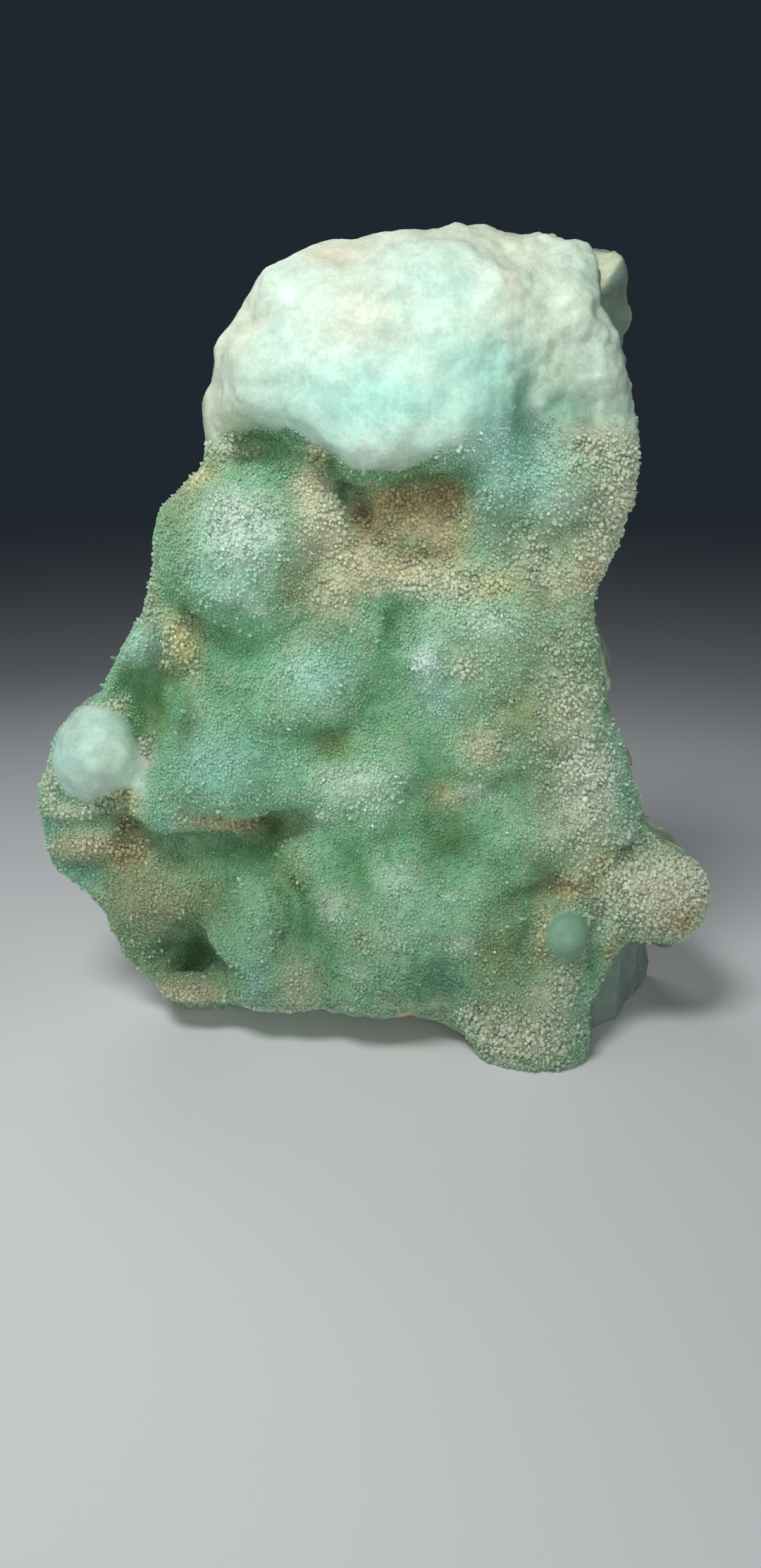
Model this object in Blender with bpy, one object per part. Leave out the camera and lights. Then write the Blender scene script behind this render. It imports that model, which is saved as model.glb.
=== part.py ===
"""A hand specimen of blue-green aragonite, standing on its broken base.

Its front is a mamillary crust: rounded bosses that grew into each other, an overhanging pale upper
mass, a brown pocket below it, knobs left and right and a foot at the front right. Its back and its
base are broken rock. It is one natural piece, so it is one solid. Units are metres, +Z is up and
the crust faces -Y.
"""

import bmesh
import bpy
import numpy as np
from mathutils import Vector, noise

# Driving dimensions.
HEIGHT = 0.157
BLANK_BACK = 0.014
THINNEST = 0.006
GROWTH_CELL = 0.0011
BLANK_CELL = 0.0016
TRIANGLES = 10100

# All the places below are millimetres: x to the right, z up from the floor, and forward the
# distance that the surface stands out towards the viewer.
MM = 0.001

# The edge of the specimen as seen from the front, clockwise from the lower left corner:
# x, z, how far forward the edge lies, and over what width the crust rolls over to it.
# A width of 0 is a sharp broken edge.
EDGE = (
    (-43, 7.5, 20, 0),
    (-49.5, 10, 13, 3),
    (-55, 16, 10, 5),
    (-57, 23.5, 10, 6),
    (-60, 28, 10, 6),
    (-67.5, 32.5, 10, 6),
    (-69.5, 40.5, 10, 7),
    (-70, 48.5, 10, 8),
    (-67.5, 55.5, 10, 9),
    (-65, 63.5, 10, 9),
    (-60, 67.5, 10, 8),
    (-55.5, 70, 10, 6),
    (-54.5, 73, 10, 5),
    (-51.5, 79, 10, 6),
    (-49, 83, 10, 6),
    (-45.5, 89, 10, 6),
    (-44, 93, 10, 8),
    (-43.5, 99.5, 10, 14),
    (-42, 106, 10, 15),
    (-37, 111.5, 10, 12),
    (-33.5, 114, 10, 6),
    (-33, 117.5, 10, 5),
    (-33.5, 124.5, 10, 7),
    (-31.5, 129.5, 10, 9),
    (-30.5, 136.5, 10, 10),
    (-27, 141, 10, 10),
    (-25, 143, 10, 10),
    (-21, 149.5, 10, 12),
    (-15.5, 151.5, 10, 12),
    (-9.5, 154, 10, 12),
    (-4.5, 154, 10, 12),
    (-2, 155, 10, 12),
    (7.5, 156, 10, 12),
    (13, 157, 10, 12),
    (19, 157, 10, 11),
    (23, 155, 10, 10),
    (31, 155.5, 10, 9),
    (32, 154.5, 10, 8),
    (37, 154, 10, 5),
    (41.5, 154.8, -6, 0),
    (45, 154.8, -6, 0),
    (47.5, 153, -6, 0),
    (49.5, 147, -9, 0),
    (49, 142, -9, 0),
    (47.5, 137, -6, 0),
    (45, 134.5, 10, 5),
    (46, 131.5, 10, 6),
    (47.7, 124.5, 10, 8),
    (48.6, 116.5, 10, 9),
    (48.7, 109.5, 10, 9),
    (46.7, 101.5, 10, 8),
    (42.5, 94, 10, 7),
    (41.3, 89.5, 10, 4),
    (42, 84, 10, 4),
    (43, 78, 10, 4),
    (44.5, 69, 10, 5),
    (47, 63.5, 10, 6),
    (50.5, 55.5, 10, 7),
    (53, 47.5, 10, 7),
    (54.5, 43, 10, 5),
    (59.5, 38.5, 12, 6),
    (63, 36.5, 12, 6),
    (67, 33, 12, 6),
    (67.5, 28.5, 12, 6),
    (65, 22.5, 12, 6),
    (62.5, 18.5, 12, 5),
    (62.5, 12, -12, 0),
    (61, 5, -12, 0),
    (59.5, -3, -12, 0),
    (21, -3, 28, 0),
    (17.5, 2, 26, 0),
    (12, 5, 24, 0),
    (8.5, 5, 24, 0),
    (1.6, 6.5, 23, 0),
    (-9, 7.3, 23, 0),
    (-16, 6.5, 22, 0),
    (-23.5, 6, 22, 0),
    (-31, 7.3, 22, 0),
)

# The hollows and slopes that the bosses stand in: x, z, forward.
FLOORS = (
    (8, 151, 12),  # behind the crown
    (-20, 144, 12),
    (28, 150, 12),
    (2, 136, 20),  # upper mass
    (-24, 132, 14),
    (33, 138, 14),
    (-5, 123, 22),  # root of the overhanging lip
    (-21, 118, 8),  # green cavity under the lip
    (-13, 114, 10),
    (8, 104, 14),  # brown pocket
    (6, 110, 10),
    (16, 108, 12),
    (-8, 101, 16),  # tan slope into the pocket
    (1, 98, 17),
    (11, 92, 17),
    (22, 103, 16),  # recess beside the pocket
    (29, 104, 17),
    (-26, 82, 17),  # below the left boss
    (-46, 64, 2),  # dark hollow between the left knob and the lobes
    (-44, 72, 3),
    (3, 85, 14),
    (-15, 83, 16),
    (-14, 61, 20),  # under the frosted boss
    (8, 59, 18),
    (-34, 36, 6),  # under the ledge of the teal lobe
    (-22, 38, 5),
    (-45, 23, 7),
    (-38, 11, 3),  # pit at the lower left
    (-13, 19, 17),
    (-5, 36, 18),
    (15, 40, 13),
    (30, 30, 13),  # crevice over the teal ball
    (29, 69, 16),
    (52, 50, 6),
    (31, 8, 22),
    (-56, 41, -1),
    (-58, 28, 3),
    (42, 109, 12),
    (8, 13, 20),
)

# The bosses: x, z, how far forward the top stands, half width, reach upwards, reach downwards,
# and how far the boss falls from its top over that reach. A short reach down is an overhang.
BOSSES = (
    # The pale upper mass, from its left shoulder over the crown to the cream ridge.
    (6, 131, 27, 36, 26, 15, 14),
    (-15, 143, 22, 11, 8, 8, 5),
    (-22, 131, 22, 10, 8, 9, 7),
    (-28, 122, 15, 5, 6, 5, 7),
    (-29, 116, 14, 3, 3, 3, 6),
    (7, 147, 22, 12, 7, 7, 4),
    (13, 136, 28, 8, 7, 6, 4),
    (20, 143, 25, 7, 6, 6, 4),
    (20, 124, 24, 7, 8, 8, 5),
    (31, 147, 18, 8, 6, 6, 4),
    (32, 139, 22, 8, 7, 7, 5),
    (39, 131, 18, 7, 6, 6, 5),
    # Right of the pocket, down the right edge.
    (21, 115, 23, 8, 13, 14, 7),
    (32, 111, 21, 9, 9, 9, 6),
    (42, 113, 17, 7, 14, 14, 6),
    (38, 97, 16, 8, 8, 8, 6),
    (33, 122, 19, 7, 6, 6, 4),
    # The lumps between the big left boss and the pocket.
    (-25, 92, 22, 12, 9, 11, 7),
    (-8, 90, 20, 9, 8, 9, 5),
    (-18, 88, 20, 8, 7, 8, 5),
    (-13, 104, 20, 6, 9, 9, 6),
    (-6, 97, 16, 8, 6, 6, 5),
    (10, 92, 18, 13, 5, 6, 7),
    (23, 94, 19, 9, 5, 6, 6),
    # The left side: ochre ridge, small knob, steps under the pale knob.
    (-41, 87, 12, 5, 6, 6, 6),
    (-38, 81, 12, 5, 6, 7, 6),
    (-49, 79, 11, 6, 7, 6, 7),
    (-62, 48, 10, 10, 9, 5, 7),
    (-60, 40, 9, 11, 8, 8, 7),
    (-62, 31, 5, 9, 6, 6, 6),
    # The teal lobe with its ledge, and the lumps below it.
    (-30, 55, 25, 15, 20, 9, 13),
    (-18, 55, 21, 9, 9, 6, 8),
    (-42, 46, 17, 8, 8, 5, 8),
    (-32, 44, 13, 8, 6, 4, 7),
    # The middle: frosted boss, bluish boss and bluish ridge.
    (-15, 73, 24.5, 11, 9.5, 11, 5),
    (-2, 83, 20, 9, 7, 9, 6),
    (-3, 56, 26, 12, 9, 10, 7),
    (-2, 48, 24, 11, 7, 9, 6),
    (9, 78, 22, 4, 8, 8, 6),
    # The granular right column.
    (24, 74, 20, 20, 24, 24, 6),
    (20, 86, 22, 12, 8, 8, 5),
    (21, 76, 22, 8, 6, 6, 4),
    (35, 80, 18, 8, 7, 7, 4),
    (34, 68, 20, 9, 8, 8, 4),
    (19, 61, 22, 8, 8, 8, 5),
    (40, 56, 18, 10, 10, 10, 5),
    (15, 51, 19, 7, 6, 6, 5),
    (27, 45, 23, 11, 8, 9, 6),
    (38, 44, 21, 10, 8, 10, 5),
    # The big mint boss low in the middle.
    (13, 30, 32, 17, 14, 13, 10),
    (2, 26, 31, 12, 12, 11, 8),
    (3, 37, 29, 7, 5, 5, 5),
    (22, 19, 30, 12, 10, 9, 7),
    (-1, 17, 28, 13, 8, 9, 6),
    (-8, 30, 25, 7, 9, 9, 6),
    (-12, 38, 22, 7, 7, 7, 6),
    # The lower left: upright ridge, slopes and corner.
    (-25, 20, 25, 8, 14, 14, 7),
    (-15, 14, 24, 8, 11, 9, 6),
    (-39, 29, 12, 10, 7, 7, 5),
    (-50, 26, 11, 10, 9, 9, 6),
    (-38, 8, 18, 10, 4, 4, 6),
    # The lower right: the knob's ochre end and the gold grains.
    (61, 25, 17, 6, 5, 5, 6),
    (33, 16, 27, 7, 6, 6, 5),
    (45, 24, 22, 4, 6, 6, 5),
    (29, 11, 30, 13, 9, 9, 6),
)

# The bosses that are round like a ball or steep at their edge, in the same numbers.
KNOBS = (
    (1, 125, 27.5, 19, 15, 11, 6),  # face of the pale upper mass, down to its lip
    (-3, 119, 27, 10, 9, 6, 5),
    (-15, 129, 24, 13, 11, 9, 6),
    (11, 122, 26, 10, 9, 8, 5),
    (-28, 101, 26, 15.5, 11.5, 17, 10),  # big boss at the left
    (-57, 58, 16, 10.5, 11, 9, 11),  # pale knob
    (36, 26, 28, 5.4, 5.4, 5.4, 5.5),  # teal ball
    (54, 31, 22, 13.5, 9, 12, 12),  # right knob
    (31, 4, 32, 13, 13, 10, 11),  # foot
)

# Dents and creases between the bosses: x, z, how deep, half width and half height.
DENTS = (
    (24, 148, 2, 2, 6),  # groove down the crown
    (26, 120, 1.5, 2.5, 9),  # teal crease
    (-40, 91, 4, 3, 3),  # crease between the left boss and the ochre ridge
    (-36, 87, 5, 3, 3),
    (-32, 83, 5, 4, 3),
    (3, 85, 3, 2.5, 6),  # crease left of the bluish ridge
    (12, 108, 2, 7, 3),  # brown pocket
    (8, 111.5, 4, 7, 2.2),
    (-21, 118.5, 7, 6.5, 3.5),  # green cavity
    (-12.5, 116, 4, 2.5, 2),  # crease that runs down from it to the pocket
    (-9, 113, 4, 2.2, 2.2),
    (-6, 109.5, 4, 2.2, 2.2),
    (-3.5, 106, 3, 2.2, 2.2),
    (-44, 64, 5, 5.5, 7),  # hollow beside the pale knob
    (-36, 15, 7, 6, 4),  # pit at the lower left
    (-11, 20, 3, 2.5, 8),  # crease right of the upright ridge
    (28, 33, 5, 8, 2.5),  # crevice
    (15, 41, 4, 5, 4),
    (-9, 64, 3, 7, 3),
)

# Lips that overhang: x, z, half width, reach up and down, how far forward the lip's face lies,
# and how far the rock behind it goes up.
LIPS = (
    (-6, 113, 26, 7, 18, 2.5),  # under the pale upper mass
    (-34, 41, 15, 7, 15, 1.5),  # under the ledge of the teal lobe
    (52, 19, 14, 7, 14, 3),  # under the right knob
    (28, 33, 8, 5, 19, 2),  # crevice over the teal ball
)
LIP_RUN = 10
LIP_END = (2, 9)
# The shares of a lip's half width and reach over which the rock goes up all the way.
LIP_FULL_WIDTH = 0.5
LIP_FULL_REACH = 0.3

# The broken plate at the upper right. A slanting edge runs through the corner, as x, z and
# forward, and parts a cream face above it from a smooth grey face below it.
PLATE_CORNER = (41, 144, -5)
PLATE_UPWARD = (-0.832, 0.555)
CREAM_FACE_LEAN = -0.5
GREY_FACE_LEAN = 0.9
PLATE_FOOT = (133, 135)
# The crust's edge against the plate, as z and x.
PLATE_SIDE = ((134, 45.5), (143, 39.8), (153, 38.6), (157, 38.4))
PLATE_STEP = 1.4

# The smooth grey face that runs back from the foot, as x and forward, and how it leans with z.
BLOCK_FACE = ((40, 20), (43.6, 13), (50.6, 7.4), (53.2, 1.4), (61.6, -14))
BLOCK_LEAN = -0.12
# Its left end, and the underside of the right knob above it, as x and z.
BLOCK_END = (41, 43.5)
BLOCK_TOP = ((42, 12), (46, 16), (52, 21), (63, 19))
BLOCK_STEP = 2

# Broken planes of the back, as how far back they lie at x 0, z 75 and how they lean per
# millimetre of x and z. The solid ends at whichever is nearest.
BACK_PLANES = (
    (31, 0.06, 0.03),
    (51, -0.06, -0.37),
    (41, 0.5, -0.25),
    (49, -0.44, 0.02),
    (70, 0.1, 0.62),
    (48, -0.44, -0.14),
    (50, 0.3, 0.34),
)
BACK_MIDDLE_Z = 75

# Ledges where the back parted in steps: the direction across the ledge in x and z, where it
# starts and how wide it is that way, how high it is, and which way its line wanders.
BACK_LEDGES = (
    (-0.35, 1, 96, 3, 3.4, 1),
    (1, 0.2, 40, 3, 2.6, 1),
    (-1, -0.5, -4, 3, 3.6, -1),
    (0.6, -1, -34, 2, 2.2, -1),
)
LEDGE_WANDER = 7
LEDGE_SWELL = 26
HACKLE_RISE = 1.3
HACKLE_SIZE = 14
BACK_PLACE = 300

# Where the rock behind the crust stands out past it on the right: the heights at which that
# starts, is full, lessens and ends, and how far it stands out.
SIDE_BULGES = (
    (62, 70, 80, 92, 4.2),  # dark waist
    (96, 112, 134, 140, 2.6),  # shoulder below the broken plate
)
BULGE_BEHIND = (-2, 6)
BULGE_FROM = (34, 42)

# The underside comes down behind the front edge to the ground that the specimen stands on.
BASE_DROP = 11
BASE_BEHIND = (-9, 1)
BASE_BELOW = (8, 30)
BASE_FROM_LEFT = (-56, -40)

# How softly the bosses and their floor run together, and how blunt a boss's top is.
BLEND = 1.9
BLUNTNESS = 1.25
KNOB_SIDE = 8

# The bosses grew unevenly: how far their outlines wander, and the size of that wandering.
WANDER = 2
WANDER_SIZE = 9
WANDER_APART = 60

# How near a floor or an edge point has to be before its height holds, and how fast it lets go.
FLOOR_NEAR = 3
FLOOR_PULL = 1.6
EDGE_NEAR = 0.3
EDGE_PULL = 4

# Growth and breaks: the size of each kind of unevenness and how far it stands out.
CRUST_BACK = (-4, 6)
SMOOTH_MASS = (112, 122)
SMOOTH_MASS_SLANT = 0.35
EVENED_TIMES = 3
LUMP_SIZE = 5.5
LUMP_GAP = 0.75
LUMP_MIDDLE = 0.5
LUMP_RISE = 0.5
LUMP_RISE_LESS = 0.35
SWELL_SIZE = 11
SWELL_RISE = 0.6
BREAK_SIZE = 7
BREAK_RISE = 0.9
BREAK_SWELL = 0.7
SIDE_FACING = (0.5, 0.9)
SIDE_FOOT = (2, 10)
SIDE_SWELL_SIZE = 23
SIDE_SWELL_RISE = 2.6
SIDE_BREAK_SIZE = 9
SIDE_BREAK_RISE = 1.1
SIDE_SET_IN = 1.2


def clear_scene():
    for thing in list(bpy.data.objects):
        bpy.data.objects.remove(thing, do_unlink=True)


def smooth_step(value, low, high):
    """0 below low, 1 above high and an even S between."""
    t = np.clip((value - low) / (high - low), 0.0, 1.0)
    return t * t * (3.0 - 2.0 * t)


def along_line(value, line):
    """The second number of the line's points, read off at the first."""
    firsts, seconds = zip(*line)
    return np.interp(value, firsts, seconds)


def read_points(mesh):
    points = np.empty(len(mesh.vertices) * 3)
    mesh.vertices.foreach_get("co", points)
    return points.reshape(-1, 3)


def write_points(mesh, points):
    mesh.vertices.foreach_set("co", points.reshape(-1))
    mesh.update()


def read_normals(mesh):
    normals = np.empty(len(mesh.vertices) * 3)
    mesh.vertices.foreach_get("normal", normals)
    return normals.reshape(-1, 3)


def waves(points, size, octaves=2):
    """Smooth noise from about -1 to 1 at each point, its swells this far across."""
    return np.array([noise.fractal(Vector(p) / size, 0.8, 2.0, octaves) for p in points])


def lumps(points, size):
    """Rounded lumps of this size, packed together: 1 on the top of each and 0 between them."""
    gaps = [noise.voronoi(Vector(p) / size)[0][0] for p in points]
    return np.sqrt(np.clip(1.0 - np.array(gaps) / LUMP_GAP, 0.0, None))


def with_modifier(thing, kind, **settings):
    """The object with one modifier of this kind applied."""
    modifier = thing.modifiers.new(kind.title(), kind)
    for name, value in settings.items():
        setattr(modifier, name, value)
    graph = bpy.context.evaluated_depsgraph_get()
    mesh = bpy.data.meshes.new_from_object(thing.evaluated_get(graph))
    thing.modifiers.clear()
    thing.data = mesh
    return thing


def cut_blank():
    """A slab cut to the specimen's edge, its faces divided evenly for carving."""
    form = bmesh.new()
    corners = [form.verts.new((x * MM, 0.0, z * MM)) for x, z, _, _ in EDGE]
    face = form.faces.new(corners)
    raised = bmesh.ops.extrude_face_region(form, geom=[face])
    moved = [v for v in raised["geom"] if isinstance(v, bmesh.types.BMVert)]
    bmesh.ops.translate(form, verts=moved, vec=(0.0, BLANK_BACK, 0.0))
    bmesh.ops.recalc_face_normals(form, faces=form.faces[:])
    mesh = bpy.data.meshes.new("aragonite")
    form.to_mesh(mesh)
    form.free()
    blank = bpy.data.objects.new("aragonite", mesh)
    bpy.context.scene.collection.objects.link(blank)
    return with_modifier(blank, "REMESH", mode="VOXEL", voxel_size=BLANK_CELL)


def floor_level(x, z):
    """How far forward the hollows and slopes lie, evened out between the places named."""
    total = np.zeros_like(x)
    weights = np.zeros_like(x)
    for floor_x, floor_z, forward in FLOORS:
        near = ((x - floor_x) ** 2 + (z - floor_z) ** 2 + FLOOR_NEAR**2) ** -FLOOR_PULL
        total += near * forward
        weights += near
    return total / weights


def distance_out(x, z, boss):
    """How far out from the boss's top each place is, squared: 1 at the boss's reach."""
    boss_x, boss_z, _, half_x, reach_up, reach_down, _ = boss
    half_z = np.where(z > boss_z, reach_up, reach_down)
    return ((x - boss_x) / half_x) ** 2 + ((z - boss_z) / half_z) ** 2


def wandered(x, z):
    """The places, moved a little this way and that."""
    across = np.column_stack([x, np.zeros_like(x), z])
    upward = np.column_stack([x, np.full_like(x, WANDER_APART), z])
    moved_x = x + WANDER * waves(across, WANDER_SIZE)
    moved_z = z + WANDER * waves(upward, WANDER_SIZE)
    return moved_x, moved_z


def crust_level(x, z):
    """How far forward the crust lies: the bosses where they stand out of the floor."""
    total = np.exp(floor_level(x, z) / BLEND)
    uneven_x, uneven_z = wandered(x, z)
    for boss in BOSSES:
        top, fall = boss[2], boss[6]
        away = distance_out(uneven_x, uneven_z, boss)
        total += np.exp((top - fall * away**BLUNTNESS) / BLEND)
    for knob in KNOBS:
        top, fall = knob[2], knob[6]
        away = distance_out(x, z, knob)
        ball = fall * (1.0 - np.sqrt(np.clip(1.0 - away, 0.0, 1.0)))
        beyond = KNOB_SIDE * np.clip(away - 1.0, 0.0, 4.0)
        total += np.exp((top - ball - beyond) / BLEND)
    level = np.log(total) * BLEND
    for dent_x, dent_z, depth, half_x, half_z in DENTS:
        away = ((x - dent_x) / half_x) ** 2 + ((z - dent_z) / half_z) ** 2
        level -= depth * np.exp(-away)
    return level


def edge_roll(x, z):
    """For each place, how far along the roll to the edge it is, and how far forward that edge
    lies."""
    roll = np.ones_like(x)
    total = np.zeros_like(x)
    weights = np.zeros_like(x)
    for start, end in zip(EDGE, EDGE[1:] + EDGE[:1]):
        run = np.array(end[:2]) - np.array(start[:2])
        along = ((x - start[0]) * run[0] + (z - start[1]) * run[1]) / (run @ run)
        along = np.clip(along, 0.0, 1.0)
        gap_x = x - start[0] - along * run[0]
        gap_z = z - start[1] - along * run[1]
        gap = np.hypot(gap_x, gap_z)
        width = min(start[3], end[3])
        if width:
            roll = np.minimum(roll, gap / width)
        near = 1.0 / (gap + EDGE_NEAR) ** EDGE_PULL
        total += near * (start[2] + along * (end[2] - start[2]))
        weights += near
    return roll, total / weights


def plate_level(x, z):
    """How far forward the broken plate lies, on either side of its slanting edge."""
    corner_x, corner_z, forward = PLATE_CORNER
    above = (x - corner_x) * PLATE_UPWARD[0] + (z - corner_z) * PLATE_UPWARD[1]
    lean = np.where(above > 0.0, CREAM_FACE_LEAN, GREY_FACE_LEAN)
    return forward + lean * above


def front_level(x, z):
    """How far forward the front lies, with its roll to the edge and its broken faces."""
    roll, edge = edge_roll(x, z)
    rounding = np.sqrt(1.0 - (1.0 - roll) ** 2)
    level = edge + (crust_level(x, z) - edge) * rounding
    past_side = x - along_line(z, PLATE_SIDE)
    plate = smooth_step(past_side, 0.0, PLATE_STEP) * smooth_step(z, *PLATE_FOOT)
    level += (plate_level(x, z) - level) * plate
    below_knob = along_line(x, BLOCK_TOP) - z
    block = smooth_step(x, *BLOCK_END) * smooth_step(below_knob, 0.0, BLOCK_STEP)
    block_level = along_line(x, BLOCK_FACE) + BLOCK_LEAN * z
    return level + (block_level - level) * block


def back_level(x, z):
    """How far back the broken back lies, with its ledges."""
    above = z - BACK_MIDDLE_Z
    planes = [at + x * lean_x + above * lean_z for at, lean_x, lean_z in BACK_PLANES]
    level = np.min(planes, axis=0)
    places = np.column_stack([x, np.full_like(x, BACK_PLACE), z])
    wander = LEDGE_WANDER * waves(places, LEDGE_SWELL)
    for across_x, across_z, start, width, height, way in BACK_LEDGES:
        across = x * across_x + z * across_z + way * wander
        level -= height * smooth_step(across, start, start + width)
    return level + HACKLE_RISE * waves(places, HACKLE_SIZE, 3)


def carve(blank):
    """Moves the slab's faces to the front and back levels."""
    points = read_points(blank.data) / MM
    x, y, z = points.T
    behind = np.clip(y / (BLANK_BACK / MM), 0.0, 1.0)
    front = -front_level(x, z)
    back = np.maximum(back_level(x, z), front + THINNEST / MM)
    points[:, 1] = front + (back - front) * behind
    write_points(blank.data, points * MM)
    return blank


def lower_underside(points):
    """Behind the front edge the underside comes down to the ground."""
    x, y, z = points.T
    down = smooth_step(y, *BASE_BEHIND) * (1.0 - smooth_step(z, *BASE_BELOW))
    points[:, 2] -= BASE_DROP * down * smooth_step(x, *BASE_FROM_LEFT)


def undercut(points, lip):
    """Hollows the rock behind a lip: what lies further back than the lip's face goes up."""
    lip_x, lip_z, half_width, reach, forward, rise = lip
    full_width = LIP_FULL_WIDTH * half_width
    across = 1.0 - smooth_step(np.abs(points[:, 0] - lip_x), full_width, half_width)
    up_down = 1.0 - smooth_step(np.abs(points[:, 2] - lip_z), LIP_FULL_REACH * reach, reach)
    behind = smooth_step(points[:, 1], -forward, LIP_RUN - forward)
    behind *= 1.0 - smooth_step(points[:, 1], *LIP_END)
    points[:, 2] += rise * across * up_down * behind


def push_out_side(points):
    """The rock behind the crust stands out past it on the right."""
    x, y, z = points.T
    behind = smooth_step(y, *BULGE_BEHIND) * smooth_step(x, *BULGE_FROM)
    for starts, full, lessens, ends, out in SIDE_BULGES:
        height = smooth_step(z, starts, full) * (1.0 - smooth_step(z, lessens, ends))
        points[:, 0] += out * behind * height


def shape_sides(blank):
    points = read_points(blank.data) / MM
    lower_underside(points)
    for lip in LIPS:
        undercut(points, lip)
    push_out_side(points)
    write_points(blank.data, points * MM)
    return with_modifier(blank, "REMESH", mode="VOXEL", voxel_size=GROWTH_CELL)


def roughen(blank):
    """Uneven growth on the crust and hackly breaks behind."""
    blank = with_modifier(blank, "SMOOTH", factor=0.5, iterations=EVENED_TIMES)
    points = read_points(blank.data) / MM
    normals = read_normals(blank.data)
    x, y, z = points.T
    crust = 1.0 - smooth_step(y, *CRUST_BACK)
    smooth_mass = smooth_step(z - SMOOTH_MASS_SLANT * x, *SMOOTH_MASS)
    swells = waves(points, SWELL_SIZE)
    lump_rise = LUMP_RISE - LUMP_RISE_LESS * smooth_mass
    rise = crust * (SWELL_RISE * swells + lump_rise * (lumps(points, LUMP_SIZE) - LUMP_MIDDLE))
    breaks = waves(points, BREAK_SIZE, 3)
    rise += (1.0 - crust) * (BREAK_RISE * breaks + BREAK_SWELL * swells)
    side = (1.0 - crust) * (1.0 - smooth_step(np.abs(normals[:, 1]), *SIDE_FACING))
    side *= smooth_step(z, *SIDE_FOOT)
    side_swells = SIDE_SWELL_RISE * waves(points, SIDE_SWELL_SIZE)
    side_breaks = SIDE_BREAK_RISE * waves(points, SIDE_BREAK_SIZE)
    rise += side * (side_swells + side_breaks - SIDE_SET_IN)
    write_points(blank.data, (points + normals * rise[:, None]) * MM)
    return blank


def thin_out(blank):
    """Fewer, larger faces where the surface is even."""
    now = sum(len(face.vertices) - 2 for face in blank.data.polygons)
    return with_modifier(blank, "DECIMATE", ratio=TRIANGLES / now)


def cut_base(blank):
    """Cuts the specimen off flat where it stands, and sets the middle of its box over zero."""
    form = bmesh.new()
    form.from_mesh(blank.data)
    everything = form.verts[:] + form.edges[:] + form.faces[:]
    cut = bmesh.ops.bisect_plane(
        form,
        geom=everything,
        dist=1e-7,
        plane_co=(0.0, 0.0, 0.0),
        plane_no=(0.0, 0.0, 1.0),
        clear_inner=True,
    )
    rim = [edge for edge in cut["geom_cut"] if isinstance(edge, bmesh.types.BMEdge)]
    bmesh.ops.holes_fill(form, edges=rim, sides=0)
    bmesh.ops.triangulate(form, faces=form.faces[:])
    bmesh.ops.recalc_face_normals(form, faces=form.faces[:])
    form.to_mesh(blank.data)
    form.free()
    points = read_points(blank.data)
    middle = (points.min(axis=0) + points.max(axis=0)) / 2.0
    points[:, :2] -= middle[:2]
    points[:, 2] *= HEIGHT / points[:, 2].max()
    write_points(blank.data, points)
    return blank


def aragonite_material():
    """Waxy, translucent blue-green aragonite."""
    material = bpy.data.materials.new("aragonite_green")
    material.use_nodes = True
    shader = material.node_tree.nodes["Principled BSDF"]
    shader.inputs["Base Color"].default_value = (0.36, 0.58, 0.45, 1.0)
    shader.inputs["Roughness"].default_value = 0.45
    shader.inputs["IOR"].default_value = 1.6
    shader.inputs["Subsurface Weight"].default_value = 0.2
    shader.inputs["Subsurface Radius"].default_value = (0.002, 0.004, 0.003)
    return material


def build_specimen():
    specimen = cut_blank()
    specimen = carve(specimen)
    specimen = shape_sides(specimen)
    specimen = roughen(specimen)
    specimen = thin_out(specimen)
    specimen = cut_base(specimen)
    specimen.data.materials.append(aragonite_material())
    specimen.name = "aragonite"
    specimen.data.name = "aragonite"
    return specimen


clear_scene()
build_specimen()
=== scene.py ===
"""A hand specimen of druzy blue-green aragonite, standing on a plain pale floor.

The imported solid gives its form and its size. Here it gets its waxy and banded stone, its stains
and the sugary crystals that coat its front. Places are in the solid's own frame, where +Z is up
and the crust faces -Y. Sizes are in millimetres, times MM where Blender takes metres.
"""

import math

import bmesh
import bpy
import numpy as np
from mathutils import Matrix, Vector, noise
from mathutils.bvhtree import BVHTree


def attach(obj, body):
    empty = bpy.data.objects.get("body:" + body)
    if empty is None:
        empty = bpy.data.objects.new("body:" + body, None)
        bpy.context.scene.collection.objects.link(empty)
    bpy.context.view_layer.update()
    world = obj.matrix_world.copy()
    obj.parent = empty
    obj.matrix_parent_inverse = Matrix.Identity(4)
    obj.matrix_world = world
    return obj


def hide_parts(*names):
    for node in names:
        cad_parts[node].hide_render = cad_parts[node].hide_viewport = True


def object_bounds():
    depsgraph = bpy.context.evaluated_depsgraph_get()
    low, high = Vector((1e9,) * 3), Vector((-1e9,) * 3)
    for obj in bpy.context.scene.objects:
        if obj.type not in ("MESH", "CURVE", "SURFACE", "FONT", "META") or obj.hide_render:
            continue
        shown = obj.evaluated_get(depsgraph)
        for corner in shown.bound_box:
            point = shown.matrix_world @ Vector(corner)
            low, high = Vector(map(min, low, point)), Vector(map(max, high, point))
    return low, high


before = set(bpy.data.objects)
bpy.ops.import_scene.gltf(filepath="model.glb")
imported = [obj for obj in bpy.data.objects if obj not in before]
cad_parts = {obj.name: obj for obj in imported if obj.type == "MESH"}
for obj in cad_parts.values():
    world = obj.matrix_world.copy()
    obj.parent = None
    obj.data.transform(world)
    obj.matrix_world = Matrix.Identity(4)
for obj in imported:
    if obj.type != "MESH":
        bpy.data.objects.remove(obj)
cad_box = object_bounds()
MM = 0.001

# The viewpoint: close in front of the specimen, level with its shoulders and looking a little
# down. The picture is 1080 wide and 2224 high, and the focal length is in the same units.
PICTURE_WIDE = 1080
PICTURE_HIGH = 2224
FOCAL = 1850
LOOK_DOWN = math.radians(15)
SENSOR_HIGH = 24.0
EYE_BEFORE = 229.6 * MM
EYE_ASIDE = 1.3 * MM
EYE_HEIGHT = 120 * MM
NEAREST_SEEN = 10 * MM

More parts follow.
